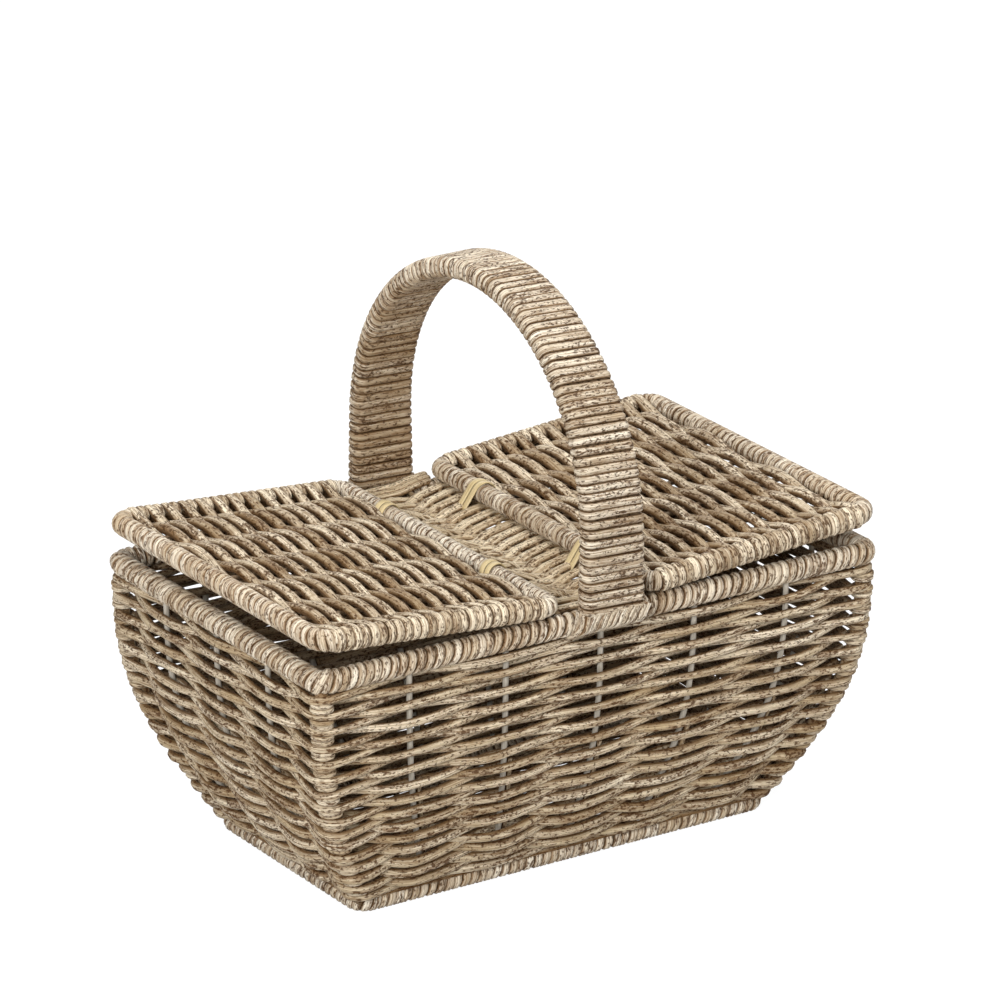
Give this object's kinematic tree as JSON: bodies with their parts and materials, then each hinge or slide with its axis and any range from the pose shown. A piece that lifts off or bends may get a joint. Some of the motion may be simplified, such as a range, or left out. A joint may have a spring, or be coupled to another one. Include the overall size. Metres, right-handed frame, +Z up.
{
  "type": "lidded rattan basket",
  "caption": "Boat-shaped woven rattan basket with a bridge strip, hinged woven lids opening from the middle and a fixed cane-wound arch handle.",
  "frame": {"origin": "middle of the flat underside of the base ring, on the floor", "axes": "+Z up, X along the basket's long side, Y across it; the handle arches across Y"},
  "size_m": [0.4216, 0.2808, 0.3763],
  "materials": {
    "stake_rod": "dry grey rod",
    "raffia": "smooth raffia",
    "core_rod": "peeled rod",
    "handle_cane": "satin split cane",
    "lid_weave": "mottled rattan",
    "body_weave": "mottled rattan",
    "wound_bar": "satin split cane"
  },
  "bodies": {
    "basket": {"base_ring": "wound_bar", "base_panel": "body_weave", "wall_front": "body_weave", "wall_back": "body_weave", "wall_left": "body_weave", "wall_right": "body_weave", "corner_post_front_left": "body_weave", "corner_post_front_right": "body_weave", "corner_post_back_left": "body_weave", "corner_post_back_right": "body_weave", "top_rim": "wound_bar", "bridge_panel": "body_weave", "stake_front_1": "stake_rod", "stake_front_2": "stake_rod", "stake_front_3": "stake_rod", "stake_front_4": "stake_rod", "stake_front_5": "stake_rod", "stake_back_1": "stake_rod", "stake_back_2": "stake_rod", "stake_back_3": "stake_rod", "stake_back_4": "stake_rod", "stake_back_5": "stake_rod", "stake_left_1": "stake_rod", "stake_left_2": "stake_rod", "stake_left_3": "stake_rod", "stake_right_1": "stake_rod", "stake_right_2": "stake_rod", "stake_right_3": "stake_rod", "bridge_stake_1": "stake_rod", "bridge_stake_2": "stake_rod", "bridge_stake_3": "stake_rod", "bridge_stake_4": "stake_rod", "hinge_tie_left_back": "raffia", "hinge_tie_left_front": "raffia", "hinge_tie_right_back": "raffia", "hinge_tie_right_front": "raffia", "handle_core": "core_rod", "handle_binding": "handle_cane"},
    "lid_left": {"lid_left_hinge_bar": "wound_bar", "lid_left_frame": "wound_bar", "lid_left_panel": "lid_weave", "lid_left_stake_1": "stake_rod", "lid_left_stake_2": "stake_rod", "lid_left_stake_3": "stake_rod", "lid_left_stake_4": "stake_rod", "lid_left_stake_5": "stake_rod"},
    "lid_right": {"lid_right_hinge_bar": "wound_bar", "lid_right_frame": "wound_bar", "lid_right_panel": "lid_weave", "lid_right_stake_1": "stake_rod", "lid_right_stake_2": "stake_rod", "lid_right_stake_3": "stake_rod", "lid_right_stake_4": "stake_rod", "lid_right_stake_5": "stake_rod"}
  },
  "joints": [
    {"name": "lid_left_hinge", "type": "hinge", "parent": "basket", "child": "lid_left", "pos_m": [-0.036, 0, 0.1934], "axis": [0, 1, 0], "range_deg": [0, 87.5]},
    {"name": "lid_right_hinge", "type": "hinge", "parent": "basket", "child": "lid_right", "pos_m": [0.036, 0, 0.1934], "axis": [0, -1, 0], "range_deg": [0, 87.5]}
  ]
}
